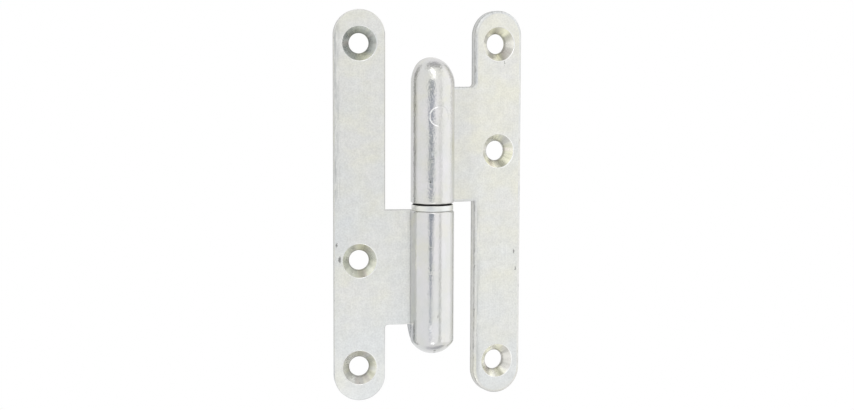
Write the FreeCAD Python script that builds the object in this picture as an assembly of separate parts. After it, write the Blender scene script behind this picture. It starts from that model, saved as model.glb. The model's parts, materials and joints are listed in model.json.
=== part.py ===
"""Lift-off door hinge, two screw leaves of rolled steel strip, a pressed pin and a loose bearing ring.

Every leaf is drawn in the frame of the pin: the pin axis is Z, the leaf reaches out along +X, its
countersunk face looks to -Y, and its knuckle is in the upper half. The hung leaf keeps its knuckle
up; the fixed leaf is the same blank turned half a turn about Y. In the finished hinge the origin is
on the back of the fixed leaf, on its line of screws at mid-height, and the pin stands along +Z.
"""
import FreeCAD
import Part
import math
import os

# Driving dimensions, in millimetres and degrees.
LEAF_HEIGHT = 110.0
LEAF_REACH = 27.75          # pin axis to the outer edge of a leaf
STRIP_WIDTH = 14.4          # the long strip that takes the screws
LEAF_THICKNESS = 3.0
FACE_SETBACK = 0.3          # countersunk face behind the pin axis; twice this is the closed gap
EDGE_BREAK = 0.35           # broken edge all round the blank
TAB_LENGTH = 32.45          # tab that joins the strip to the knuckle, along the pin
TAB_CORNER_ROUND = 1.0      # inner corner at the far end of the tab

KNUCKLE_DIAMETER = 12.3
KNUCKLE_TOP = 41.8          # mid-height of the hinge to the tip of a dome
KNUCKLE_END_BREAK = 0.3     # broken edge of the faced end
KNUCKLE_END_CROWN = 0.05    # roundness of that edge
CRANK_ROUND = 2.0           # hollow on the back, where the strip is cranked into the roll
FLARE = 0.9                 # how far the cranked web stands out past the knuckle at the tab's end
FLARE_CROWN = 0.1           # roundness of the flare along the pin
SEAM_GAP = 0.2              # gap between the rolled edge and the leaf's face
SEAM_DEPTH = 1.2
HUNG_NOSE_INSET = 0.65      # the upper dome is bullet shaped
HUNG_SHOULDER_EXTRA = 2.85
FIXED_NOSE_EXTRA = 0.85     # the lower dome is pressed flatter, with a short shoulder
FIXED_SHOULDER = 2.2

RING_THICKNESS = 1.7
RING_STEP = 0.25            # the ring is this much smaller in radius than the knuckles
RING_EDGE_BREAK = 0.3
RING_CLEARANCE = 0.4        # open line above the ring; the leaf turns on the tip of the pin

PIN_DIAMETER = 6.0
PIN_RISE = 30.0             # pin above the end of the lower knuckle
PIN_GRIP = 28.0             # pressed length inside the lower knuckle
PIN_TIP_LENGTH = 2.2
PIN_TIP_DIAMETER = 3.4
PIN_FOOT_CHAMFER = 0.6
BORE_CLEARANCE = 0.05       # radial, upper knuckle and ring on the pin
TIP_CLEARANCE = 0.05        # between the pin's tip and the end of the blind bore
FOOT_CLEARANCE = 0.5        # below the pressed pin
BORE_MOUTH_CHAMFER = 0.4
BORE_END_CHAMFER = 0.5

SCREW_HOLE_DIAMETER = 5.6
COUNTERSINK_DIAMETER = 10.2
COUNTERSINK_ANGLE = 90.0
RIM_BREAK_WIDTH = 0.25
RIM_BREAK_DEPTH = 0.12
SCREW_PITCH = 30.4          # the third screw is one pitch in from one end screw, two from the other

OPEN_PAST_FLAT = 15.0       # how far the hung leaf is turned back behind the fixed leaf's plane

# Sizes that follow from them.
V = FreeCAD.Vector
X_AXIS = V(1, 0, 0)
Y_AXIS = V(0, 1, 0)
Z_AXIS = V(0, 0, 1)
ORIGIN = V(0, 0, 0)
FRONT = FACE_SETBACK
BACK = FACE_SETBACK + LEAF_THICKNESS
STRIP_INNER = LEAF_REACH - STRIP_WIDTH
SCREW_LINE = LEAF_REACH - STRIP_WIDTH / 2
KNUCKLE_RADIUS = KNUCKLE_DIAMETER / 2
KNUCKLE_FOOT = (RING_THICKNESS + RING_CLEARANCE) / 2
TAB_TOP = KNUCKLE_FOOT + TAB_LENGTH
PIN_RADIUS = PIN_DIAMETER / 2
HUNG_BORE_END = PIN_RISE - KNUCKLE_FOOT + TIP_CLEARANCE
FIXED_BORE_END = KNUCKLE_FOOT + PIN_GRIP + FOOT_CLEARANCE
SCREW_HEIGHTS = [1.5 * SCREW_PITCH, 0.5 * SCREW_PITCH, -1.5 * SCREW_PITCH]
PIN_PLACE = V(SCREW_LINE, -BACK, 0)


def line(start, end):
    return Part.LineSegment(start, end).toShape()


def arc(start, through, end):
    return Part.Arc(start, through, end).toShape()


def polyline(points):
    return [line(a, b) for a, b in zip(points, points[1:])]


def crowned(start, end, crown):
    """Arc of the XZ plane that bulges to the right of the way from start to end."""
    way = end - start
    outward = V(way.z, 0, -way.x).normalize()
    return arc(start, (start + end) * 0.5 + outward * crown, end)


def turned(edges):
    """Solid of revolution about Z from edges that run round a closed profile in the XZ plane."""
    return Part.Face(Part.Wire(edges)).revolve(ORIGIN, Z_AXIS, 360)


def on_circle(centre, radius, angle):
    """Point of the XZ plane at an angle, in radians, from +X."""
    return centre + V(radius * math.cos(angle), 0, radius * math.sin(angle))


def blank():
    """Flat steel blank: the strip with its round ends, and the tab that runs in to the pin axis."""
    end_radius = STRIP_WIDTH / 2
    straight = LEAF_HEIGHT / 2 - end_radius
    corner = V(STRIP_INNER - TAB_CORNER_ROUND, FRONT, TAB_TOP + TAB_CORNER_ROUND)
    corner_start = V(STRIP_INNER, FRONT, corner.z)
    corner_end = V(corner.x, FRONT, TAB_TOP)
    low_inner = V(STRIP_INNER, FRONT, -straight)
    low_outer = V(LEAF_REACH, FRONT, -straight)
    top_inner = V(STRIP_INNER, FRONT, straight)
    top_outer = V(LEAF_REACH, FRONT, straight)
    edges = [
        arc(low_inner, V(SCREW_LINE, FRONT, -LEAF_HEIGHT / 2), low_outer),
        line(low_outer, top_outer),
        arc(top_outer, V(SCREW_LINE, FRONT, LEAF_HEIGHT / 2), top_inner),
        line(top_inner, corner_start),
        arc(corner_start, on_circle(corner, TAB_CORNER_ROUND, -math.pi / 4), corner_end),
    ]
    edges += polyline([
        corner_end,
        V(0, FRONT, TAB_TOP),
        V(0, FRONT, KNUCKLE_FOOT),
        V(STRIP_INNER, FRONT, KNUCKLE_FOOT),
        low_inner,
    ])
    plate = Part.Face(Part.Wire(edges)).extrude(Y_AXIS * LEAF_THICKNESS)
    rims = [e for e in plate.Edges if e.BoundBox.YLength < EDGE_BREAK and e.BoundBox.XMax > KNUCKLE_RADIUS]
    return plate.makeChamfer(EDGE_BREAK, rims)


def dome_arcs(nose, shoulder):
    """Centres of the shoulder and nose arcs of a dome, and the point where they meet smoothly."""
    rise = math.sqrt((nose - shoulder) ** 2 - (KNUCKLE_RADIUS - shoulder) ** 2)
    nose_centre = V(0, 0, KNUCKLE_TOP - nose)
    base = nose_centre.z - rise if shoulder > nose else nose_centre.z + rise
    shoulder_centre = V(KNUCKLE_RADIUS - shoulder, 0, base)
    along = nose_centre - shoulder_centre if shoulder > nose else shoulder_centre - nose_centre
    meeting = nose_centre + along.normalize() * nose
    return shoulder_centre, nose_centre, meeting


def knuckle_barrel(nose, shoulder):
    """Outside of the knuckle: faced end with a broken edge, plain barrel, closed dome."""
    shoulder_centre, nose_centre, meeting = dome_arcs(nose, shoulder)
    foot = V(0, 0, KNUCKLE_FOOT)
    tip = V(0, 0, KNUCKLE_TOP)
    barrel_end = V(KNUCKLE_RADIUS, 0, shoulder_centre.z)
    shoulder_angle = math.atan2(meeting.z - shoulder_centre.z, meeting.x - shoulder_centre.x)
    nose_angle = math.atan2(meeting.z - nose_centre.z, meeting.x)
    edge_start = V(KNUCKLE_RADIUS - KNUCKLE_END_BREAK, 0, KNUCKLE_FOOT)
    edge_end = V(KNUCKLE_RADIUS, 0, KNUCKLE_FOOT + KNUCKLE_END_BREAK)
    edges = polyline([tip, foot, edge_start])
    edges.append(crowned(edge_start, edge_end, KNUCKLE_END_CROWN))
    edges.append(line(edge_end, barrel_end))
    edges.append(arc(barrel_end, on_circle(shoulder_centre, shoulder, shoulder_angle / 2), meeting))
    edges.append(arc(meeting, on_circle(nose_centre, nose, (nose_angle + math.pi / 2) / 2), tip))
    return turned(edges)


def neck_section():
    """Section across the neck: the leaf's thickness, and the hollow of the crank on its back."""
    hollow_y = BACK + CRANK_ROUND
    hollow_x = math.sqrt((KNUCKLE_RADIUS + CRANK_ROUND) ** 2 - hollow_y ** 2)
    hollow = V(hollow_x, hollow_y, 0)
    on_barrel = hollow * (KNUCKLE_RADIUS / (KNUCKLE_RADIUS + CRANK_ROUND))
    on_back = V(hollow_x, BACK, 0)
    middle = (on_barrel + on_back) * 0.5 - hollow
    outer = KNUCKLE_RADIUS + FLARE
    edges = polyline([
        on_back,
        V(outer, BACK, 0),
        V(outer, FRONT, 0),
        V(0, FRONT, 0),
        on_barrel,
    ])
    edges.append(arc(on_barrel, hollow + middle.normalize() * CRANK_ROUND, on_back))
    return Part.Face(Part.Wire(edges))


def neck(nose, shoulder):
    """Cranked web between leaf and barrel, with the flare that runs from the tab's end into the dome."""
    shoulder_centre = dome_arcs(nose, shoulder)[0]
    flare_foot = V(KNUCKLE_RADIUS + FLARE, 0, TAB_TOP)
    to_foot = flare_foot - shoulder_centre
    foot_angle = math.atan2(to_foot.z, to_foot.x)
    touch = on_circle(shoulder_centre, shoulder, foot_angle + math.acos(shoulder / to_foot.Length))
    edges = polyline([
        touch,
        V(0, 0, touch.z),
        V(0, 0, KNUCKLE_FOOT),
        V(flare_foot.x, 0, KNUCKLE_FOOT),
        flare_foot,
    ])
    edges.append(crowned(flare_foot, touch, FLARE_CROWN))
    envelope = turned(edges)
    section = neck_section()
    section.translate(V(0, 0, KNUCKLE_FOOT + EDGE_BREAK))
    return section.extrude(Z_AXIS * KNUCKLE_TOP).common(envelope)


def bore(radius, end):
    """Blind bore from the faced end, with a chamfered mouth and a flat bottom."""
    mouth = radius + BORE_MOUTH_CHAMFER
    return turned(polyline([
        V(0, 0, KNUCKLE_FOOT),
        V(mouth, 0, KNUCKLE_FOOT),
        V(radius, 0, KNUCKLE_FOOT + BORE_MOUTH_CHAMFER),
        V(radius, 0, end - BORE_END_CHAMFER),
        V(radius - BORE_END_CHAMFER, 0, end),
        V(0, 0, end),
        V(0, 0, KNUCKLE_FOOT),
    ]))


def seam():
    """Fine gap in front, where the rolled edge comes round to the leaf's face."""
    outer = KNUCKLE_RADIUS + SEAM_GAP
    box = Part.makeBox(SEAM_DEPTH + SEAM_GAP, SEAM_GAP, TAB_LENGTH)
    box.translate(V(outer - SEAM_DEPTH - SEAM_GAP, FRONT - SEAM_GAP, KNUCKLE_FOOT))
    return box


def screw_holes():
    """Countersunk holes along the strip, with the broken edge at each rim."""
    rim = COUNTERSINK_DIAMETER / 2 + RIM_BREAK_WIDTH
    sink = COUNTERSINK_DIAMETER / 2
    hole = SCREW_HOLE_DIAMETER / 2
    cone_depth = (sink - hole) / math.tan(math.radians(COUNTERSINK_ANGLE / 2))
    past = LEAF_THICKNESS
    cutter = turned(polyline([
        V(0, 0, -past),
        V(rim, 0, -past),
        V(rim, 0, 0),
        V(sink, 0, RIM_BREAK_DEPTH),
        V(hole, 0, RIM_BREAK_DEPTH + cone_depth),
        V(hole, 0, LEAF_THICKNESS + past),
        V(0, 0, LEAF_THICKNESS + past),
        V(0, 0, -past),
    ]))
    cutter.rotate(ORIGIN, X_AXIS, -90)
    holes = []
    for height in SCREW_HEIGHTS:
        hole_cutter = cutter.copy()
        hole_cutter.translate(V(SCREW_LINE, FRONT, height))
        holes.append(hole_cutter)
    return holes


def leaf(nose, shoulder, bore_radius, bore_end):
    """One leaf in the frame of the pin."""
    solid = knuckle_barrel(nose, shoulder).fuse([blank(), neck(nose, shoulder)])
    solid = solid.cut([bore(bore_radius, bore_end), seam()] + screw_holes())
    return solid.removeSplitter()


def fixed_leaf():
    solid = leaf(KNUCKLE_RADIUS + FIXED_NOSE_EXTRA, FIXED_SHOULDER, PIN_RADIUS, FIXED_BORE_END)
    solid.rotate(ORIGIN, Y_AXIS, 180)
    return solid


def hung_leaf():
    nose = KNUCKLE_RADIUS - HUNG_NOSE_INSET
    shoulder = KNUCKLE_RADIUS + HUNG_SHOULDER_EXTRA
    solid = leaf(nose, shoulder, PIN_RADIUS + BORE_CLEARANCE, HUNG_BORE_END)
    solid.rotate(ORIGIN, Z_AXIS, OPEN_PAST_FLAT)
    return solid


def hinge_pin():
    """Round pin with a chamfered foot and a tapered lead-in at its tip."""
    foot = -KNUCKLE_FOOT - PIN_GRIP
    tip = PIN_RISE - KNUCKLE_FOOT
    return turned(polyline([
        V(0, 0, tip),
        V(0, 0, foot),
        V(PIN_RADIUS - PIN_FOOT_CHAMFER, 0, foot),
        V(PIN_RADIUS, 0, foot + PIN_FOOT_CHAMFER),
        V(PIN_RADIUS, 0, tip - PIN_TIP_LENGTH),
        V(PIN_TIP_DIAMETER / 2, 0, tip),
        V(0, 0, tip),
    ]))


def bearing_ring():
    """Loose washer that lies on the lower knuckle, with broken outer edges."""
    inner = PIN_RADIUS + BORE_CLEARANCE
    outer = KNUCKLE_RADIUS - RING_STEP
    bottom = -KNUCKLE_FOOT
    top = bottom + RING_THICKNESS
    return turned(polyline([
        V(inner, 0, bottom),
        V(outer - RING_EDGE_BREAK, 0, bottom),
        V(outer, 0, bottom + RING_EDGE_BREAK),
        V(outer, 0, top - RING_EDGE_BREAK),
        V(outer - RING_EDGE_BREAK, 0, top),
        V(inner, 0, top),
        V(inner, 0, bottom),
    ]))


os.makedirs("parts", exist_ok=True)
for piece in (fixed_leaf, hung_leaf, hinge_pin, bearing_ring):
    placed = piece()
    placed.translate(PIN_PLACE)
    placed.exportStep("parts/" + piece.__name__ + ".step")
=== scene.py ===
import json
import math
from types import SimpleNamespace
import bmesh
import bpy
from mathutils import Matrix, Quaternion, Vector


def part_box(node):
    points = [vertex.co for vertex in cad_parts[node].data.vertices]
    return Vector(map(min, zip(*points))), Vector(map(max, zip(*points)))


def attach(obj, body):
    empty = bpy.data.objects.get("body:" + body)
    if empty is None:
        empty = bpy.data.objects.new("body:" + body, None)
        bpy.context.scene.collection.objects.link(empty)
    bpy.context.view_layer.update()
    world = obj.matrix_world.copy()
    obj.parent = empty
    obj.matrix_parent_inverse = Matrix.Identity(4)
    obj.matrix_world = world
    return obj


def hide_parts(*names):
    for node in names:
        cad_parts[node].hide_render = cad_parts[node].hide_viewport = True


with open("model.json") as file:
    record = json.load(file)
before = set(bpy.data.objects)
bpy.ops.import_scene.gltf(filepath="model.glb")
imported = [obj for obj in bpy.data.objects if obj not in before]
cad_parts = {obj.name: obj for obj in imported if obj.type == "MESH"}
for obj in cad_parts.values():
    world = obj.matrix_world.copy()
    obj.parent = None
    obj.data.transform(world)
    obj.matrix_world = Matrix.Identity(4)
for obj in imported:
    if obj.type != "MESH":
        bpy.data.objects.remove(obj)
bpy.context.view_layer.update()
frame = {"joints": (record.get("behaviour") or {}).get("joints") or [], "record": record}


# Fixed leaf: the lower half of the hinge, which is screwed to the door frame. It is blanked from 3 mm
# steel strip, its tab is cranked and rolled round the bore, the far end of the roll is pressed shut to
# a low dome, the holes are countersunk, and the whole leaf is zinc plated.
mm = 0.001
mounts = {mount["name"]: mount for mount in frame["record"]["mounts"]}
end_screws = mounts["fixed_leaf_end_screws"]["dims"]
near_screws = mounts["fixed_leaf_near_screws"]["dims"]
pin_axis = Vector(frame["joints"][0]["pos_m"])
fixed_low, fixed_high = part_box("fixed_leaf")
ring_low, ring_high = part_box("bearing_ring")
pin_low, pin_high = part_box("hinge_pin")

# The frame starts at the middle of the fixed strip's back. A leaf is made in a space of its own, where X
# runs out from the pin axis, Y back through the strip and Z to the dome.
leaf_height = fixed_high.z - fixed_low.z
leaf_reach = pin_axis.x - fixed_low.x
strip_width = 2 * (leaf_reach - pin_axis.x)
strip_inner = leaf_reach - strip_width
screw_line = leaf_reach - strip_width / 2
leaf_thickness = 3.0 * mm
leaf_back = -pin_axis.y
leaf_front = leaf_back - leaf_thickness
knuckle_foot = -ring_low.z
tab_length = 32.45 * mm
tab_proud = 0.05 * mm
tab_top = knuckle_foot + tab_length
tab_foot = knuckle_foot - tab_proud
tab_root = 4.3 * mm
tab_corner = 1.0 * mm
back_roll = (0.3 * mm, 0.3 * mm)
hole_radius = end_screws["hole_r_mm"] * mm
sink_radius = 4.9 * mm
end_height = end_screws["spacing_y_mm"] * mm / 2
screw_heights = (end_height, end_height - near_screws["spacing_y_mm"] * mm, -end_height)

# A leaf's finishes, by their numbers in its mesh.
FACE, EDGE, SINK, ROLL, BEARING = range(5)


def sweep(start, end, steps):
    """Even steps from start to end, with both of them."""
    return [start + (end - start) * i / steps for i in range(steps + 1)]


def arc(centre, radius, start, end, steps):
    """Points of an arc between two directions in degrees."""
    angles = [math.radians(a) for a in sweep(start, end, steps)]
    return [centre + radius * Vector((math.cos(a), math.sin(a))) for a in angles]


def leaf_outline():
    """Outline of the blank in the leaf's plane, anticlockwise: a round-ended strip and its tab."""
    straight = leaf_height / 2 - strip_width / 2
    corner = Vector((strip_inner - tab_corner, tab_top + tab_corner))
    points = arc(Vector((screw_line, -straight)), strip_width / 2, 180, 360, steps=72)
    points += arc(Vector((screw_line, straight)), strip_width / 2, 0, 180, steps=72)
    points += arc(corner, tab_corner, 0, -90, steps=12)
    points += [Vector((tab_root, tab_top)), Vector((tab_root, tab_foot)), Vector((strip_inner, tab_foot))]
    return points


def inset(outline, distance):
    """The outline moved into the steel, with mitred corners."""
    moved = []
    for i, point in enumerate(outline):
        before = (point - outline[i - 1]).normalized()
        after = (outline[(i + 1) % len(outline)] - point).normalized()
        sides = Vector((-before.y, before.x)), Vector((-after.y, after.x))
        moved.append(point + (sides[0] + sides[1]) * (distance / (1 + sides[0].dot(sides[1]))))
    return moved


def rolled(width, depth, steps):
    """Steps of a rolled-over edge, from the flat face to the wall, as distance from the wall and depth."""
    turns = [math.radians(a) for a in sweep(0, 90, steps)]
    return [(width * (1 - math.sin(t)), depth * (1 - math.cos(t))) for t in turns]


def ring(mesh, points, depth):
    """Vertices at points of the leaf's plane, all at one depth."""
    return [mesh.verts.new((p.x, depth, p.y)) for p in points]


def skin(mesh, rings, finish):
    """Faces from each ring of vertices to the next."""
    for low, high in zip(rings, rings[1:]):
        for i in range(len(low)):
            mesh.faces.new((low[i - 1], low[i], high[i], high[i - 1])).material_index = finish


def fill(mesh, rings, finish):
    """Flat face inside the first ring and outside the others."""
    edges = [mesh.edges.get((r[i - 1], r[i])) for r in rings for i in range(len(r))]
    for added in bmesh.ops.triangle_fill(mesh, use_beauty=True, edges=edges)["geom"]:
        if isinstance(added, bmesh.types.BMFace):
            added.material_index = finish


lip_width = 0.30 * mm
lip_depth = 0.14 * mm
lip_inset = 0.13 * mm
lip_lean = 0.4
land_round = 0.08 * mm
land_drop = 0.06 * mm
hole_back_roll = (0.25 * mm, 0.2 * mm)
cone_start = sink_radius - lip_inset
cone_end = leaf_front + lip_depth + cone_start - hole_radius


def sink_profile(lip_share):
    """Radius and depth down a countersunk hole: rolled lip, cone, short land, broken back edge."""
    lip = [(cone_start + w * lip_share, leaf_front + d) for w, d in rolled(lip_width, lip_depth, 5)]
    land = [(hole_radius + land_round, cone_end - land_round), (hole_radius, cone_end + land_drop)]
    back = [(hole_radius + w, leaf_back - d) for w, d in reversed(rolled(*hole_back_roll, 3))]
    return lip + land + back


def sink(mesh, centre, lip_side):
    """Rings of vertices down a countersunk hole. The cutter leaned, so its lip is wider on one side."""
    angles = [math.radians(a) for a in sweep(0, 360, 96)[:-1]]
    profiles = [sink_profile(1 - lip_lean + lip_lean * math.cos(a - lip_side)) for a in angles]
    rings = []
    for level in zip(*profiles):
        depth = level[0][1]
        points = [centre + r * Vector((math.cos(a), math.sin(a))) for a, (r, _) in zip(angles, level)]
        rings.append(ring(mesh, points, depth))
    return rings


def leaf_plate(front_roll, lip_side):
    """Flat blank with its rolled-over rim, as width and depth, and its three countersunk holes."""
    mesh = bmesh.new()
    outline = leaf_outline()
    front = [(w, leaf_front + d) for w, d in rolled(*front_roll, 6)]
    back = [(w, leaf_back - d) for w, d in reversed(rolled(*back_roll, 4))]
    rim = [ring(mesh, inset(outline, w), depth) for w, depth in front + back]
    skin(mesh, rim, EDGE)
    faces, backs = [rim[0]], [rim[-1]]
    for height in screw_heights:
        hole = sink(mesh, Vector((screw_line, height)), lip_side)
        skin(mesh, hole, SINK)
        faces.append(hole[0])
        backs.append(hole[-1])
    fill(mesh, faces, FACE)
    fill(mesh, backs, FACE)
    bmesh.ops.recalc_face_normals(mesh, faces=mesh.faces)
    return mesh


knuckle_radius = 6.15 * mm
knuckle_top = 41.8 * mm
knuckle_break = 0.5 * mm
flare = 0.9 * mm
flare_crown = 0.1 * mm
flare_round = 0.3 * mm
hollow_radius = 2.0 * mm
web_front = leaf_front + 0.1 * mm
web_back = leaf_back - 0.05 * mm
seam_front = leaf_front - 0.2 * mm
seam_back = leaf_front + 0.09 * mm
seam_top = tab_top - 0.2 * mm
seam_depth = 1.2 * mm
bore_mouth = 0.4 * mm
bore_end_break = 0.5 * mm
pin_radius = (pin_high.x - pin_low.x) / 2


def dome(nose, shoulder):
    """Outside of the pressed dome as radius and height: a shoulder arc that runs into a nose arc."""
    rise = math.sqrt((nose - shoulder) ** 2 - (knuckle_radius - shoulder) ** 2)
    nose_height = knuckle_top - nose
    base = nose_height - rise if shoulder > nose else nose_height + rise
    turn = math.degrees(math.atan2(rise, abs(knuckle_radius - shoulder)))
    shoulder_arc = arc(Vector((knuckle_radius - shoulder, base)), shoulder, 0, turn, steps=20)
    nose_arc = arc(Vector((0, nose_height)), nose, turn, 90, steps=22)
    return shoulder_arc + nose_arc[1:]


def flare_reach(height, touch):
    """How far the cranked web stands from the pin axis above the tab's end, where it runs into the dome."""
    share = max(0.0, (height - tab_top) / (touch.y - tab_top))
    straight = knuckle_radius + flare + share * (touch.x - knuckle_radius - flare)
    return straight + 4 * flare_crown * share * (1 - share)


def web_reach(angle, height, touch):
    """Distance from the pin axis to the web's surface, or 0 where there is only the plain roll."""
    start = math.asin(web_front / knuckle_radius)
    if not start <= angle < math.pi / 2 or height > touch.y or height < knuckle_foot + knuckle_break:
        return 0.0
    round_off = max(0.0, 1 - (angle - start) * knuckle_radius / flare_round)
    reach = flare_reach(height, touch) - flare_round * (1 - math.sqrt(1 - round_off ** 2))
    way = Vector((math.cos(angle), math.sin(angle)))
    hollow_y = web_back + hollow_radius
    hollow = Vector((math.sqrt((knuckle_radius + hollow_radius) ** 2 - hollow_y ** 2), hollow_y))
    along = hollow.dot(way)
    clear = along ** 2 - hollow.length_squared + hollow_radius ** 2
    if angle > math.atan2(hollow.y, hollow.x):
        return 0.0
    if clear > 0:
        return min(reach, along - math.sqrt(clear))
    return min(reach, web_back / way.y)


def roll_angles(mark):
    """Directions round the roll, close together at the seam, the web and a pressed mark."""
    seam_start = math.degrees(math.asin(seam_front / knuckle_radius))
    seam = [-6, -3, -1, seam_start - 0.3, seam_start, seam_start + 0.06, 2.2, 3.3, 3.66, 3.74]
    web = [4.1, 4.6, 5.2, 5.9, 6.8] + sweep(8, 44, 36)
    back = sweep(45.5, 240, 130)
    front = sweep(240.5, 298, 92 if mark else 38)
    tab_side = sweep(299.5, 352.5, 35)
    return [math.radians(a) for a in seam + web + back + front + tab_side]


def roll_heights(base, mark):
    """Heights along the plain part of the roll, close together where the tab ends and at a pressed mark."""
    coarse_end = tab_top - 0.6 * mm
    fine_start = tab_top - 0.5 * mm
    fine_step = 0.15 * mm
    mark_margin = 0.3 * mm
    heights = sweep(knuckle_foot + knuckle_break, coarse_end, 16)[1:-1]
    heights += sweep(fine_start, base, max(6, round((base - tab_top) / fine_step)))
    if mark:
        low, high = mark.height - mark.radius, mark.height + mark.radius
        heights += sweep(low - mark_margin, high + mark_margin, 80)
    return sorted(heights)


def knuckle(nose, shoulder, lean, bore_radius, bore_end, gap_shade_steps, mark=None):
    """Rolled knuckle with its closed dome, cranked web, seam and blind bore. The dome's tip leans away from
    the web. The grease finish, painted near black for the shade in the gap, reaches a number of steps out
    over the rounded rim. A mark is a shallow round line pressed into the front of the roll."""
    mesh = bmesh.new()
    closed_end = dome(nose, shoulder)
    web_end_step = 5 if shoulder > nose else 3
    touch = closed_end[web_end_step]
    foot_rim = rolled(knuckle_break, knuckle_break, 5)
    stations = [Vector((knuckle_radius - w, knuckle_foot + d)) for w, d in foot_rim]
    stations += [Vector((knuckle_radius, z)) for z in roll_heights(closed_end[0].y, mark)]
    stations += closed_end[1:-1]
    angles = roll_angles(mark)
    seam_start = math.asin(seam_front / knuckle_radius)
    seam_end = math.asin(seam_back / knuckle_radius)
    front = 1.5 * math.pi
    mark_half_turn = 0.6
    lean_bend = 1.5

    def reach(angle, station):
        if seam_start < angle < seam_end and station.y < seam_top:
            return knuckle_radius - seam_depth
        if mark and abs(angle - front) < mark_half_turn:
            across = knuckle_radius * math.sin(angle - front) - mark.side
            off_line = abs(math.hypot(across, station.y - mark.height) - mark.radius) / mark.line_width
            return station.x - mark.depth * max(0.0, 1 - off_line ** 2)
        return max(station.x, web_reach(angle, station.y, touch))

    def leaning(height):
        share = max(0.0, (height - closed_end[0].y) / (knuckle_top - closed_end[0].y))
        return -lean * share ** lean_bend

    def turned(radius, height):
        return [mesh.verts.new((radius * math.cos(a), radius * math.sin(a), height)) for a in angles]

    outside = []
    for station in stations:
        shift = leaning(station.y)
        spots = [(reach(a, station), a) for a in angles]
        points = [(shift + r * math.cos(a), r * math.sin(a), station.y) for r, a in spots]
        outside.append([mesh.verts.new(point) for point in points])
    mouth = [turned(bore_radius + bore_mouth, knuckle_foot), turned(bore_radius, knuckle_foot + bore_mouth)]
    end = [turned(bore_radius, bore_end - bore_end_break), turned(bore_radius - bore_end_break, bore_end)]
    skin(mesh, list(reversed(mouth + end)), ROLL)
    # The bearing face and the first steps of the rim take the grease finish, painted shade of the gap.
    skin(mesh, [mouth[0]] + outside[:1 + gap_shade_steps], BEARING)
    skin(mesh, outside[gap_shade_steps:], ROLL)
    for height, shift, last in ((knuckle_top, -lean, outside[-1]), (bore_end, 0, end[-1])):
        tip = mesh.verts.new((shift, 0, height))
        for i in range(len(last)):
            mesh.faces.new((last[i - 1], last[i], tip)).material_index = ROLL
    bmesh.ops.recalc_face_normals(mesh, faces=mesh.faces)
    return mesh


def piece(name, mesh, finishes):
    """Object made from a finished mesh, with its finishes in the order of their numbers."""
    data = bpy.data.meshes.new(name)
    mesh.to_mesh(data)
    mesh.free()
    for finish in finishes:
        data.materials.append(finish)
    made = bpy.data.objects.new(name, data)
    bpy.context.scene.collection.objects.link(made)
    return made


def bake_modifiers(made):
    """The mesh as its modifiers shape it, kept in place of them."""
    bpy.context.view_layer.update()
    shaped = made.evaluated_get(bpy.context.evaluated_depsgraph_get())
    data = bpy.data.meshes.new_from_object(shaped)
    made.modifiers.clear()
    made.data = data


def smooth(made):
    """Smooth shading that keeps creases, with the flat faces setting the normals at their rims."""
    crease = math.radians(32)
    made.data.shade_smooth()
    made.data.set_sharp_from_angle(angle=crease)
    weights = made.modifiers.new("flat faces lead", "WEIGHTED_NORMAL")
    weights.keep_sharp = True
    bake_modifiers(made)


def leaf(name, plate, roll, finishes):
    """Leaf in the frame of the pin: the plate and its rolled knuckle as one body."""
    made = piece(name, plate, finishes)
    barrel = piece(name + "_roll", roll, finishes)
    union = made.modifiers.new("one piece of steel", "BOOLEAN")
    union.operation = "UNION"
    union.solver = "EXACT"
    union.object = barrel
    bake_modifiers(made)
    bpy.data.objects.remove(barrel)
    smooth(made)
    return made


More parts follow.
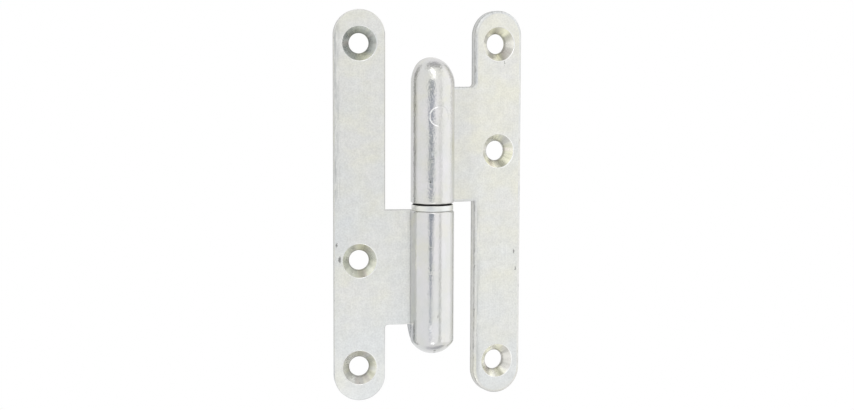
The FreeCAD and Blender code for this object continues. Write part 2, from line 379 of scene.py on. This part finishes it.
class Finish:
    """A metal finish, with colour, roughness and relief laid over a piece in that piece's own space."""

    def __init__(self, name, seed):
        self.material = bpy.data.materials.new(name)
        self.material.use_nodes = True
        self.tree = self.material.node_tree
        self.seed = seed
        self.place = self.node("ShaderNodeTexCoord").outputs["Object"]

    def node(self, kind, **settings):
        """New node, with each setting linked, put into an input, or set as an option of the node."""
        made = self.tree.nodes.new(kind)
        for key, value in settings.items():
            if isinstance(value, bpy.types.NodeSocket):
                self.tree.links.new(value, made.inputs[key])
            elif key in made.inputs:
                made.inputs[key].default_value = value
            else:
                setattr(made, key, value)
        return made

    def span(self, value, low, high, start=0.0, end=1.0):
        """Value that runs from start to end while another runs from low to high."""
        limits = {"From Min": low, "From Max": high, "To Min": start, "To Max": end}
        return self.node("ShaderNodeMapRange", Value=value, **limits).outputs["Result"]

    def varied(self, pattern, start, end):
        """Value that follows an uneven pattern over the range that holds most of it."""
        return self.span(pattern, 0.3, 0.7, start, end)

    def combined(self, value, other, operation="ADD"):
        """Two values added, or put together by another operation."""
        made = self.node("ShaderNodeMath", operation=operation)
        self.tree.links.new(value, made.inputs[0])
        if isinstance(other, bpy.types.NodeSocket):
            self.tree.links.new(other, made.inputs[1])
        else:
            made.inputs[1].default_value = other
        return made.outputs["Value"]

    def times(self, value, other):
        return self.combined(value, other, "MULTIPLY")

    def facing(self):
        """The way the surface faces, drifting with place, for patterns that fan out round a hole."""
        drift_per_metre = 30
        made = self.node("ShaderNodeVectorMath", operation="MULTIPLY_ADD")
        self.tree.links.new(self.place, made.inputs[0])
        made.inputs[1].default_value = [drift_per_metre] * 3
        self.tree.links.new(self.node("ShaderNodeTexCoord").outputs["Normal"], made.inputs[2])
        return made.outputs["Vector"]

    def noise(self, size, detail=3, stretch=(1, 1, 1), by=None):
        """Uneven pattern, mostly near a half, with spots of the given size drawn out by the stretch."""
        shift = (self.seed, 1.7 * self.seed, 2.9 * self.seed)
        scale = [1 / (size * s) if s else 0.0 for s in stretch]
        spot = self.node("ShaderNodeMapping", Vector=by or self.place, Location=shift, Scale=scale)
        made = self.node("ShaderNodeTexNoise", Vector=spot.outputs["Vector"], Scale=1.0, Detail=detail)
        return made.outputs["Fac"]

    def specks(self, spacing, size, least):
        """1 in small round specks, one to a cell, and only in the cells that draw more than the least."""
        spot = self.node("ShaderNodeMapping", Vector=self.place, Location=(self.seed, 0, self.seed))
        cells = self.node("ShaderNodeTexVoronoi", Vector=spot.outputs["Vector"], Scale=1 / spacing)
        inside = self.span(cells.outputs["Distance"], 0.3 * size / spacing, 0.6 * size / spacing, 1, 0)
        drawn = self.span(cells.outputs["Color"], least, least + 0.02)
        return self.times(inside, drawn)

    def away(self, place, squash):
        """Distance from a place, with each axis counted by a share."""
        squashed = self.node("ShaderNodeVectorMath", operation="MULTIPLY")
        self.tree.links.new(self.place, squashed.inputs[0])
        squashed.inputs[1].default_value = squash
        made = self.node("ShaderNodeVectorMath", operation="DISTANCE")
        self.tree.links.new(squashed.outputs["Vector"], made.inputs[0])
        made.inputs[1].default_value = [p * s for p, s in zip(place, squash)]
        return made.outputs["Value"]

    def nicks(self, spots):
        """1 in a few ragged spots, longest along the pin, each given as its place and its width. It marks
        nicks, and also spots of painted highlight.
        """
        ragged = self.varied(self.noise(0.25 * mm, detail=2), -0.2 * mm, 0.2 * mm)
        dented = None
        for place, size in spots:
            off_centre = self.combined(self.away(place, (1, 1, 0.4)), ragged)
            dent = self.span(off_centre, 0.5 * size, size, 1, 0)
            dented = self.combined(dented, dent, "MAXIMUM") if dented else dent
        return dented

    def along(self, axis):
        return self.node("ShaderNodeSeparateXYZ", Vector=self.place).outputs[axis]

    def ramp(self, value, stops):
        """Grey that follows a value through stops, each a position and a level."""
        made = self.node("ShaderNodeValToRGB", Fac=value)
        for position, grey in stops[1:-1]:
            made.color_ramp.elements.new(position).color = (grey, grey, grey, 1)
        ends = made.color_ramp.elements[0], made.color_ramp.elements[-1]
        for element, (position, grey) in zip(ends, (stops[0], stops[-1])):
            element.position = position
            element.color = (grey, grey, grey, 1)
        return made.outputs["Color"]

    def over(self, amount, below, above, kind="MIX"):
        """Colour above laid on the colour below by an amount; a colour is a socket or red, green, blue."""
        made = self.node("ShaderNodeMix", data_type="RGBA", blend_type=kind, Factor=amount)
        for key, colour in (("A", below), ("B", above)):
            if isinstance(colour, tuple):
                made.inputs[key].default_value = (*colour, 1)
            else:
                self.tree.links.new(colour, made.inputs[key])
        return made.outputs["Result"]

    def shaded(self, colour, shade):
        """Colour made darker or lighter by a shade, where 1 leaves it as it is."""
        return self.over(1.0, colour, shade, "MULTIPLY")

    def done(self, colour, roughness, relief, depth):
        """The finished material: metal with its colour, its roughness and a relief of some depth."""
        shader = self.tree.nodes["Principled BSDF"]
        shader.inputs["Metallic"].default_value = 1.0
        bump = self.node("ShaderNodeBump", Height=relief, Strength=1.0, Distance=depth)
        self.tree.links.new(colour, shader.inputs["Base Color"])
        self.tree.links.new(roughness, shader.inputs["Roughness"])
        self.tree.links.new(bump.outputs["Normal"], shader.inputs["Normal"])
        return self.material


straw_zinc = (0.800, 0.795, 0.715)
pale_zinc = (0.783, 0.783, 0.757)
blue_zinc = (0.752, 0.768, 0.765)
lilac_zinc = (0.735, 0.715, 0.750)
# Painted highlight colour, for the countersink lips, bright spots on the rolls and the pressed mark.
painted_highlight_zinc = (0.960, 0.960, 0.960)
worn_zinc = (0.480, 0.490, 0.485)
straw_plate = (0.800, 0.795, 0.640)
rose_plate = (0.740, 0.690, 0.650)
roll_shade = (0.865, 0.865, 0.865)
painted_shade_flare = (0.470, 0.480, 0.490)
dull_speck = (0.300, 0.300, 0.290)
thick_grease_gap_shade = (0.030, 0.030, 0.032)
thin_grease_gap_shade = (0.070, 0.068, 0.064)


def clouded_zinc(finish, cloud_size, blue_end, straw_start=0.45):
    """Passivated zinc in drifting tints: straw over pale, and blue towards one end of the leaf. A lower
    start spreads the straw."""
    drift = finish.span(finish.along("Z"), -blue_end, blue_end, -0.35, 0.35)
    blue = finish.span(finish.combined(finish.noise(cloud_size), drift), 0.40, 0.75)
    clouds = finish.noise(0.6 * cloud_size, detail=4, stretch=(1.3, 1, 0.8))
    straw = finish.span(clouds, straw_start, straw_start + 0.25)
    return finish.over(blue, finish.over(straw, pale_zinc, straw_zinc), blue_zinc)


def face_zinc(name, seed, blue_end, straw_start, tab_painted_shade, worn_edge, nicks):
    """Flat of the strip: satin plate with fine grain, rolling scratches along the strip and dark specks. It
    is rubbed dull along one long edge, on the half with no tab, and has a few nicks. The tab has painted
    shade by the knuckle."""
    finish = Finish(name, seed)
    grain = finish.noise(0.45 * mm, detail=4)
    blotches = finish.noise(2.5 * mm)
    scratches = finish.noise(0.35 * mm, detail=2, stretch=(1, 1, 30))
    colour = clouded_zinc(finish, 15 * mm, blue_end, straw_start)
    colour = finish.shaded(colour, finish.span(grain, 0.25, 0.75, 0.92, 1.08))
    colour = finish.shaded(colour, finish.varied(blotches, 0.97, 1.03))
    colour = finish.shaded(colour, finish.span(scratches, 0.62, 0.75, 1.0, 1.06))
    # Painted shade over the tab, fading out past the strip's inner edge.
    tab_painted_shade_mask = finish.span(finish.along("X"), strip_inner - 2 * mm, strip_inner + 2 * mm, tab_painted_shade, 1.0)
    colour = finish.shaded(colour, tab_painted_shade_mask)
    worn_inside = worn_edge + math.copysign(2.0 * mm, screw_line - worn_edge)
    margin = finish.span(finish.along("X"), worn_inside, worn_edge)
    half = finish.span(finish.along("Z"), tab_foot, tab_foot - 4 * mm)
    rubbed = finish.span(finish.noise(0.7 * mm, stretch=(1, 1, 6)), 0.38, 0.60)
    colour = finish.over(finish.times(finish.times(margin, half), rubbed), colour, worn_zinc)
    colour = finish.over(finish.specks(4 * mm, 0.5 * mm, least=0.66), colour, dull_speck)
    colour = finish.over(finish.nicks(nicks), colour, dull_speck)
    roughness = finish.varied(finish.noise(3 * mm, detail=4), 0.42, 0.54)
    return finish.done(colour, roughness, finish.combined(grain, scratches), depth=0.02 * mm)


def edge_zinc(name, seed, shade, inner_wall_painted_shade):
    """Blanked edge: smooth at the rolled-over rim, then a burnished band and the dull torn band behind it,
    as shares of the thickness and greys, which past the rim also paint the shade that the walls mirror.
    The long wall that faces the knuckle, on the half with no tab, has painted shade of its own."""
    finish = Finish(name, seed)
    # Band greys: past the rim they also paint the shade that the walls mirror, scaled by the leaf's shade.
    rim = [(0.0, 0.98), (0.10, 0.96)]
    burnished = [(0.17, 0.66), (0.26, 0.72), (0.36, 0.96), (0.60, 0.98)]
    torn = [(0.74, 0.78), (0.88, 0.76), (0.95, 0.60), (1.0, 0.60)]
    bands = rim + [(share, shade * grey) for share, grey in burnished + torn]
    raggedness = 0.12 * leaf_thickness
    tear = finish.varied(finish.noise(0.5 * mm, stretch=(1, 1, 4)), -raggedness, raggedness)
    depth = finish.span(finish.combined(finish.along("Y"), tear), leaf_front, leaf_back)
    colour = clouded_zinc(finish, 9 * mm, leaf_height)
    colour = finish.shaded(colour, finish.ramp(depth, bands))
    # Painted shade on the long wall that faces the knuckle, on the half with no tab.
    half = finish.span(finish.along("Z"), tab_foot, tab_foot - 2 * mm)
    painted_shade_wall_mask = finish.span(finish.along("X"), strip_inner + 0.3 * mm, strip_inner + 0.1 * mm)
    colour = finish.shaded(colour, finish.span(finish.times(painted_shade_wall_mask, half), 0, 1, 1.0, inner_wall_painted_shade))
    grain = finish.noise(0.3 * mm, detail=4, stretch=(1, 1, 2))
    colour = finish.shaded(colour, finish.span(grain, 0.25, 0.75, 0.86, 1.06))
    colour = finish.over(finish.specks(2.5 * mm, 0.45 * mm, least=0.62), colour, dull_speck)
    roughness = finish.varied(finish.noise(0.8 * mm), 0.30, 0.45)
    return finish.done(colour, roughness, grain, depth=0.015 * mm)


def sink_zinc(name, seed, tints, contrast):
    """Countersink: cut with a cone drill, so fine rings run round it, with painted reflection fanning out in
    wedges, under a plate that differs from hole to hole, in the order of the screw heights, and drifts to
    straw and rose. It has a painted highlight at the lip and painted shade down by the hole."""
    finish = Finish(name, seed)
    cut_rings = finish.noise(0.16 * mm, detail=2, stretch=(0, 1, 0))
    facing = finish.facing()
    height = finish.along("Z")
    depth = finish.along("Y")
    colour = tints[0]
    for upper, lower, tint in zip(screw_heights, screw_heights[1:], tints[1:]):
        divide = (upper + lower) / 2
        colour = finish.over(finish.span(height, divide, divide + mm, 1, 0), colour, tint)
    straw = finish.noise(0.7, detail=2, stretch=(1, 1, 1.3), by=facing)
    rose = finish.noise(0.5, detail=2, stretch=(1.4, 1, 1), by=facing)
    wedges = finish.noise(0.42, detail=2, by=facing)
    colour = finish.over(finish.span(straw, 0.46, 0.64), colour, straw_plate)
    colour = finish.over(finish.span(rose, 0.56, 0.70), colour, rose_plate)
    # Painted reflection: lighter and darker wedges that fan out round the hole, as strong as the contrast.
    colour = finish.shaded(colour, finish.span(wedges, 0.40, 0.60, 1 - contrast, 1 + contrast))
    colour = finish.shaded(colour, finish.varied(cut_rings, 0.94, 1.04))
    # Painted shade, darker down the cone and darkest by the hole.
    colour = finish.shaded(colour, finish.span(depth, leaf_front, cone_end, 1.06, 0.86))
    deep_painted_shade = finish.span(depth, cone_end - 0.4 * mm, cone_end - 0.1 * mm, 1.0, 0.66)
    colour = finish.shaded(colour, deep_painted_shade)
    # Painted highlight round the lip.
    lip = finish.span(depth, leaf_front + 0.4 * lip_depth, leaf_front + lip_depth, 0.8, 0)
    colour = finish.over(lip, colour, painted_highlight_zinc)
    roughness = finish.varied(finish.noise(1.5 * mm), 0.24, 0.36)
    return finish.done(colour, roughness, cut_rings, depth=0.006 * mm)


def roll_zinc(name, seed, blue_end, pebble, dullest, dark_nicks, painted_highlight_spots, mark=None):
    """Rolled knuckle: polished by the rolling die, with a pebbled skin that breaks up what it mirrors. It
    has painted shade on the flare past the tab's end, a few nicks, spots of painted highlight, and a
    painted highlight on one side of a pressed mark."""
    finish = Finish(name, seed)
    pebbles = finish.noise(pebble.size)
    beads = finish.noise(0.32 * mm)
    dents = finish.noise(2.2 * mm, detail=2)
    colour = finish.shaded(clouded_zinc(finish, 8 * mm, blue_end), roll_shade)
    lilac = finish.span(finish.noise(5 * mm, stretch=(1, 1, 1.6)), 0.42, 0.66, 0, 0.5)
    colour = finish.over(lilac, colour, lilac_zinc)
    bead_shade = finish.span(beads, 0.25, 0.75, 1 - pebble.contrast, 1 + pebble.contrast)
    colour = finish.shaded(colour, bead_shade)
    # Painted shade on the web's flare past the tab's end.
    on_web = finish.span(finish.along("X"), knuckle_radius - 0.8 * mm, knuckle_radius - 0.4 * mm)
    past_tab = finish.span(finish.along("Z"), tab_top - 0.4 * mm, tab_top + 0.2 * mm)
    colour = finish.over(finish.times(on_web, past_tab), colour, painted_shade_flare)
    colour = finish.over(finish.specks(5 * mm, 0.5 * mm, least=0.68), colour, dull_speck)
    colour = finish.over(finish.nicks(dark_nicks), colour, dull_speck)
    # Painted highlights in a few bright spots on the roll.
    colour = finish.over(finish.times(finish.nicks(painted_highlight_spots), 0.6), colour, painted_highlight_zinc)
    if mark:
        # Painted highlight along the pressed line, on its left and on the front of the roll.
        off_centre = finish.away((mark.side, 0, mark.height), (1, 0, 1))
        off_line = finish.combined(finish.combined(off_centre, -mark.radius), 0, "ABSOLUTE")
        on_line = finish.span(off_line, 0.2 * mark.line_width, 0.9 * mark.line_width, 0.9, 0)
        left, middle = mark.side - 0.35 * mark.radius, mark.side - 0.05 * mark.radius
        rubbed = finish.span(finish.along("X"), middle, left)
        front = finish.span(finish.along("Y"), 0, -mm)
        colour = finish.over(finish.times(finish.times(on_line, rubbed), front), colour, painted_highlight_zinc)
    roughness = finish.varied(finish.noise(1.2 * mm, detail=4), 0.6 * dullest, dullest)
    return finish.done(colour, roughness, finish.combined(pebbles, dents), depth=pebble.relief)


def grease_and_gap_shade(name, seed):
    """Bearing face, dark with grease and painted near black for the deep shade in the gap between parts."""
    finish = Finish(name, seed)
    smears = finish.noise(0.8 * mm)
    colour = finish.over(smears, thick_grease_gap_shade, thin_grease_gap_shade)
    return finish.done(colour, finish.varied(smears, 0.45, 0.65), smears, depth=0.01 * mm)


fixed_face_nicks = (
    ((screw_line + 5.6 * mm, leaf_front, 14.8 * mm), 0.45 * mm),
    ((screw_line + 6.5 * mm, leaf_front, 10.6 * mm), 0.30 * mm),
)
fixed_roll_nicks = (
    ((-0.8 * mm, -6.1 * mm, 30.3 * mm), 0.17 * mm),
    ((-0.2 * mm, -3.0 * mm, 41.1 * mm), 0.40 * mm),
    ((-0.1 * mm, -4.2 * mm, 40.4 * mm), 0.40 * mm),
)
# Spots of painted highlight on the fixed roll, each a place and a width.
fixed_roll_painted_highlights = (((1.2 * mm, -6.0 * mm, 34.1 * mm), 0.55 * mm),)
fixed_pebble = SimpleNamespace(size=0.38 * mm, relief=0.040 * mm, contrast=0.03)
fixed_sinks = ((0.76, 0.76, 0.73), (0.83, 0.84, 0.76), (0.58, 0.60, 0.575))
fixed_finishes = [
    face_zinc("fixed_face_zinc", 0.0, blue_end=leaf_height, straw_start=0.42, tab_painted_shade=1.0,
              worn_edge=leaf_reach, nicks=fixed_face_nicks),
    edge_zinc("fixed_edge_zinc", 3.0, shade=0.735, inner_wall_painted_shade=0.72),
    sink_zinc("fixed_sink_zinc", 5.0, fixed_sinks, contrast=0.16),
    roll_zinc("fixed_roll_zinc", 7.0, blue_end=leaf_height, pebble=fixed_pebble, dullest=0.08,
              dark_nicks=fixed_roll_nicks, painted_highlight_spots=fixed_roll_painted_highlights),
    grease_and_gap_shade("fixed_grease_gap_shade", 9.0),
]
fixed_nose = 7.0 * mm
fixed_shoulder = 2.2 * mm
pin_foot_clearance = 0.5 * mm
fixed_bore_end = -pin_low.z + pin_foot_clearance
fixed_rim_roll = (0.25 * mm, 0.20 * mm)
fixed_lip_side = math.radians(160)
fixed_roll = knuckle(fixed_nose, fixed_shoulder, lean=0, bore_radius=pin_radius, bore_end=fixed_bore_end,
                     gap_shade_steps=0)
fixed_plate = leaf_plate(fixed_rim_roll, fixed_lip_side)
fixed_leaf = leaf("fixed_leaf_body", fixed_plate, fixed_roll, fixed_finishes)
fixed_leaf.matrix_world = Matrix.Translation(pin_axis) @ Matrix.Rotation(math.pi, 4, "Y")
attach(fixed_leaf, "fixed")
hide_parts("fixed_leaf")


# Hinge pin: drawn steel rod, left bare and a little oiled, pressed into the lower knuckle so that its
# tapered tip stands up. The hung leaf turns on that tip.
def turned_piece(name, profile, steps, finishes):
    """Solid of revolution from steps of radius and height. Where the first and the last radius agree they
    bound a bore, and otherwise both ends are closed. A second finish goes on the flat ends."""
    flat = 0.99
    mesh = bmesh.new()
    angles = [math.radians(a) for a in sweep(0, 360, steps)[:-1]]
    rings = [[mesh.verts.new((r * math.cos(a), r * math.sin(a), z)) for a in angles] for r, z in profile]
    skin(mesh, rings, 0)
    if profile[0][0] == profile[-1][0]:
        skin(mesh, [rings[-1], rings[0]], 0)
    else:
        mesh.faces.new(rings[0])
        mesh.faces.new(rings[-1])
    bmesh.ops.recalc_face_normals(mesh, faces=mesh.faces)
    for face in mesh.faces:
        if abs(face.normal.z) > flat:
            face.material_index = len(finishes) - 1
    made = piece(name, mesh, finishes)
    smooth(made)
    made.matrix_world = Matrix.Translation(pin_axis)
    return made


bare_steel = (0.560, 0.555, 0.545)
oiled_steel = (0.400, 0.395, 0.375)


def drawn_steel(name, seed):
    """Bare drawn rod: bright steel with fine lines along it, under a thin uneven film of oil."""
    finish = Finish(name, seed)
    draw_lines = finish.noise(0.12 * mm, detail=2, stretch=(1, 1, 40))
    film = finish.noise(3 * mm, detail=4, stretch=(1, 1, 2))
    colour = finish.over(finish.span(film, 0.40, 0.65, 0, 0.6), bare_steel, oiled_steel)
    colour = finish.shaded(colour, finish.varied(draw_lines, 0.94, 1.06))
    return finish.done(colour, finish.varied(film, 0.18, 0.32), draw_lines, depth=0.002 * mm)


pin_tip_radius = 1.7 * mm
pin_tip_length = 2.2 * mm
pin_foot_chamfer = 0.6 * mm
pin_profile = [
    (pin_radius - pin_foot_chamfer, pin_low.z),
    (pin_radius, pin_low.z + pin_foot_chamfer),
    (pin_radius, pin_high.z - pin_tip_length),
    (pin_tip_radius, pin_high.z),
]
pin = turned_piece("hinge_pin_body", pin_profile, 128, [drawn_steel("pin_steel", 11.0)])
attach(pin, "fixed")
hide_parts("hinge_pin")


# Bearing ring: a washer turned from steel and zinc plated, its flat faces dark with grease and painted
# near black for the shade in the gaps. It lies loose on the lower knuckle, round the pin, and carries the
# hung leaf.
def turned_zinc(name, seed):
    """Turned and plated steel: fine tool lines run round it under a pale plate."""
    finish = Finish(name, seed)
    tool_lines = finish.noise(0.14 * mm, detail=2, stretch=(0, 0, 1))
    wear = finish.noise(1.5 * mm, detail=4)
    colour = clouded_zinc(finish, 6 * mm, leaf_height)
    colour = finish.shaded(colour, finish.varied(tool_lines, 0.99, 1.11))
    return finish.done(colour, finish.varied(wear, 0.28, 0.40), tool_lines, depth=0.03 * mm)


ring_radius = (ring_high.x - ring_low.x) / 2
ring_clearance = 0.05 * mm
ring_bore = pin_radius + ring_clearance
ring_round = 0.3 * mm
ring_edge = rolled(ring_round, ring_round, 6)
ring_profile = [(ring_bore, ring_low.z)]
ring_profile += [(ring_radius - w, ring_low.z + d) for w, d in ring_edge]
ring_profile += [(ring_radius - w, ring_high.z - d) for w, d in reversed(ring_edge)]
ring_profile += [(ring_bore, ring_high.z)]
ring_finishes = [turned_zinc("ring_zinc", 13.0), grease_and_gap_shade("ring_grease_gap_shade", 17.0)]
washer = turned_piece("bearing_ring_body", ring_profile, 160, ring_finishes)
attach(washer, "ring")
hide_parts("bearing_ring")


# Hung leaf: the upper half, screwed to the door and lowered onto the pin. It is made from the same blank
# as the fixed leaf, with the roll's end pressed to a longer dome, and it stands a little past flat.
hung_nose = 5.6 * mm
hung_shoulder = 9.0 * mm
tip_lean = 0.6 * mm
bore_clearance = 0.05 * mm
pin_tip_clearance = 0.05 * mm
hung_bore = pin_radius + bore_clearance
hung_bore_end = pin_high.z + pin_tip_clearance
hung_rim_roll = (0.75 * mm, 0.40 * mm)
hung_lip_side = math.radians(-20)
open_past_flat = math.radians(15)
round_mark = SimpleNamespace(side=-0.4 * mm, height=25.5 * mm, radius=2.75 * mm,
                             line_width=0.20 * mm, depth=0.07 * mm)
hung_face_nicks = (
    ((screw_line - 6.6 * mm, leaf_front, -37.5 * mm), 0.30 * mm),
    ((screw_line + 1.8 * mm, leaf_front, 40.2 * mm), 0.15 * mm),
    ((screw_line + 5.2 * mm, leaf_front, -14.0 * mm), 0.30 * mm),
    ((screw_line + 5.8 * mm, leaf_front, -19.0 * mm), 0.22 * mm),
)
hung_roll_nicks = (((-2.9 * mm, -5.4 * mm, 7.4 * mm), 0.25 * mm),)
# Spots of painted highlight on the hung roll, each a place and a width.
hung_roll_painted_highlights = (((-2.4 * mm, -5.6 * mm, 15.0 * mm), 0.30 * mm),)
hung_pebble = SimpleNamespace(size=0.44 * mm, relief=0.085 * mm, contrast=0.04)
hung_sinks = ((0.82, 0.81, 0.75), (0.82, 0.82, 0.77), (0.78, 0.77, 0.73))
hung_finishes = [
    face_zinc("hung_face_zinc", 20.6, blue_end=-leaf_height, straw_start=0.35, tab_painted_shade=0.945,
              worn_edge=strip_inner, nicks=hung_face_nicks),
    edge_zinc("hung_edge_zinc", 23.6, shade=0.895, inner_wall_painted_shade=1.0),
    sink_zinc("hung_sink_zinc", 25.6, hung_sinks, contrast=0.26),
    roll_zinc("hung_roll_zinc", 27.6, blue_end=-leaf_height, pebble=hung_pebble, dullest=0.07,
              dark_nicks=hung_roll_nicks, painted_highlight_spots=hung_roll_painted_highlights, mark=round_mark),
    grease_and_gap_shade("hung_grease_gap_shade", 29.6),
]
hung_roll = knuckle(hung_nose, hung_shoulder, lean=tip_lean, bore_radius=hung_bore, bore_end=hung_bore_end,
                    gap_shade_steps=2, mark=round_mark)
hung_plate = leaf_plate(hung_rim_roll, hung_lip_side)
hung_leaf = leaf("hung_leaf_body", hung_plate, hung_roll, hung_finishes)
hung_leaf.matrix_world = Matrix.Translation(pin_axis) @ Matrix.Rotation(open_past_flat, 4, "Z")
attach(hung_leaf, "hung")
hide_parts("hung_leaf")


# Studio: a white room and a paper floor that light the metal evenly, two soft boxes on the right, lit panels
# above and below, and grey cards that the metal mirrors as darker lines: at the lens and under it, on the
# right, overhead, behind and underneath.
view_azimuth = -8.39
view_elevation = 5.53
view_distance = 420 * mm
camera_roll = math.radians(0.2)
image_width = 854
focal_pixels = 1491.8
shift_pixels = (-5.4, 1.4)


def direction(azimuth, elevation):
    """From the hinge, with azimuth 0 towards -Y and growing to the right as the camera sees it."""
    a, e = math.radians(azimuth), math.radians(elevation)
    return Vector((math.sin(a) * math.cos(e), -math.cos(a) * math.cos(e), math.sin(e)))


camera = bpy.data.objects.new("camera", bpy.data.cameras.new("camera"))
camera.data.sensor_width = 36
camera.data.lens = focal_pixels / image_width * camera.data.sensor_width
camera.data.shift_x = shift_pixels[0] / image_width
camera.data.shift_y = shift_pixels[1] / image_width
camera.data.clip_start = 10 * mm
look_at = Vector((pin_axis.x, pin_axis.y, 0))
camera.location = look_at + direction(view_azimuth, view_elevation) * view_distance
camera.rotation_mode = "QUATERNION"
aim = (look_at - camera.location).to_track_quat("-Z", "Y")
camera.rotation_quaternion = aim @ Quaternion((0, 0, 1), camera_roll)
bpy.context.scene.collection.objects.link(camera)
bpy.context.scene.camera = camera


def width(span, distance):
    """Width that fills a span of degrees at a distance."""
    return 2 * distance * math.tan(math.radians(span[1] - span[0]) / 2)


def soft_box(name, azimuths, elevations, glow, distance=0.6):
    """Area lamp that faces the hinge and adds an even glow to a span of elevations and of azimuths from the
    lens. At a glow of 1 it would be as bright as the room."""
    watts_per_area = 4
    lamp = bpy.data.lights.new(name, "AREA")
    lamp.shape = "RECTANGLE"
    lamp.size = width(azimuths, distance)
    lamp.size_y = width(elevations, distance)
    lamp.energy = watts_per_area * lamp.size * lamp.size_y * glow
    made = bpy.data.objects.new(name, lamp)
    towards = direction(view_azimuth + sum(azimuths) / 2, sum(elevations) / 2)
    made.location = look_at + towards * distance
    made.rotation_mode = "QUATERNION"
    made.rotation_quaternion = towards.to_track_quat("Z", "Y")
    bpy.context.scene.collection.objects.link(made)


def card(name, corners, shade, distance=0.5):
    """Card that stands in front of the white room, with each corner given as its azimuth from the lens and
    its elevation. The lens doesn't see it, but the metal does. A shade over 1 is a lit panel."""
    mesh = bmesh.new()
    places = [look_at + direction(view_azimuth + a, e) * distance for a, e in corners]
    mesh.faces.new([mesh.verts.new(place) for place in places])
    paint = bpy.data.materials.new(name)
    paint.use_nodes = True
    glow = paint.node_tree.nodes.new("ShaderNodeEmission")
    glow.inputs["Color"].default_value = (*shade, 1)
    surface = paint.node_tree.nodes["Material Output"].inputs["Surface"]
    paint.node_tree.links.new(glow.outputs["Emission"], surface)
    made = piece(name, mesh, [paint])
    made.visible_camera = False


def grey(level):
    return (level, level, level)


soft_box("right_box", (8, 42), (-45, 50), glow=0.08)
soft_box("side_box", (48, 110), (-45, 50), glow=0.15)
card("top_panel", ((-27, 60), (26, 44), (11, 30), (6, 13), (0, 34)), grey(2.0), distance=0.45)
card("low_panel", ((5, -20), (16, -40), (14, -56), (-7, -54), (-5, -40)), grey(2.0), distance=0.25)
card("lens_card", ((-19, 14), (9, 14), (9, -5.6), (-19, -5.6)), (0.40, 0.43, 0.48))
card("lens_card_foot", ((-13, -5.6), (0.5, -5.6), (-8.5, -14), (-14, -14)), (0.22, 0.26, 0.33))
card("tip_panel", ((-12, -17), (-5, -17), (-7, -21), (-10, -21)), grey(1.5), distance=0.25)
card("side_card", ((42, 30), (48, 30), (47, -6), (44, -26), (34, -26), (38.5, -6)), (0.70, 0.70, 0.69))
card("overhead_card", ((-70, 72), (124, 56.5), (77.5, 48), (-36, 50)), grey(0.55))
card("shoulder_card", ((80, 55), (84, 51), (44, 32), (38, 36)), grey(0.75))
card("right_card", ((115, 2.4), (123, 2.4), (130, 20), (140, 31), (131, 36), (116, 20)), grey(0.46))
card("back_card", ((-125, 30), (-178, 30), (-178, -11), (-125, -11)), grey(0.83))
card("low_card", ((-95, -75.5), (79, -59), (116, -56), (-116, -74)), (0.55, 0.55, 0.58), distance=0.25)

world = bpy.data.worlds.new("white room")
world.use_nodes = True
world.node_tree.nodes["Background"].inputs["Color"].default_value = (1, 1, 1, 1)
world.node_tree.nodes["Background"].inputs["Strength"].default_value = 1.0
bpy.context.scene.world = world

floor_drop = 250 * mm
floor_size = 6.0
paper_white = (0.9, 0.9, 0.9)


def white_paper():
    """Paper that is plain white to the lens and in the metal, less the hinge's shadow, else matt."""
    paper = bpy.data.materials.new("white_paper")
    paper.use_nodes = True
    tree = paper.node_tree
    rays = tree.nodes.new("ShaderNodeLightPath")
    lens_or_metal = tree.nodes.new("ShaderNodeMath")
    lens_or_metal.operation = "MAXIMUM"
    seen = tree.nodes.new("ShaderNodeMath")
    seen.operation = "MAXIMUM"
    shadow = tree.nodes.new("ShaderNodeAmbientOcclusion")
    shadow.inputs["Distance"].default_value = floor_drop
    glow = tree.nodes.new("ShaderNodeEmission")
    matt = tree.nodes.new("ShaderNodeBsdfDiffuse")
    matt.inputs["Color"].default_value = (*paper_white, 1)
    mix = tree.nodes.new("ShaderNodeMixShader")
    tree.links.new(rays.outputs["Is Camera Ray"], lens_or_metal.inputs[0])
    tree.links.new(rays.outputs["Is Glossy Ray"], lens_or_metal.inputs[1])
    tree.links.new(lens_or_metal.outputs["Value"], seen.inputs[0])
    tree.links.new(rays.outputs["Is Transmission Ray"], seen.inputs[1])
    tree.links.new(shadow.outputs["AO"], glow.inputs["Strength"])
    tree.links.new(seen.outputs["Value"], mix.inputs["Fac"])
    tree.links.new(matt.outputs["BSDF"], mix.inputs[1])
    tree.links.new(glow.outputs["Emission"], mix.inputs[2])
    tree.links.new(mix.outputs["Shader"], tree.nodes["Material Output"].inputs["Surface"])
    return paper


sheet = bmesh.new()
bmesh.ops.create_grid(sheet, x_segments=1, y_segments=1, size=floor_size / 2)
floor = piece("floor", sheet, [white_paper()])
floor.location = (0, 0, fixed_low.z - floor_drop)

bpy.context.scene.view_settings.view_transform = "Standard"
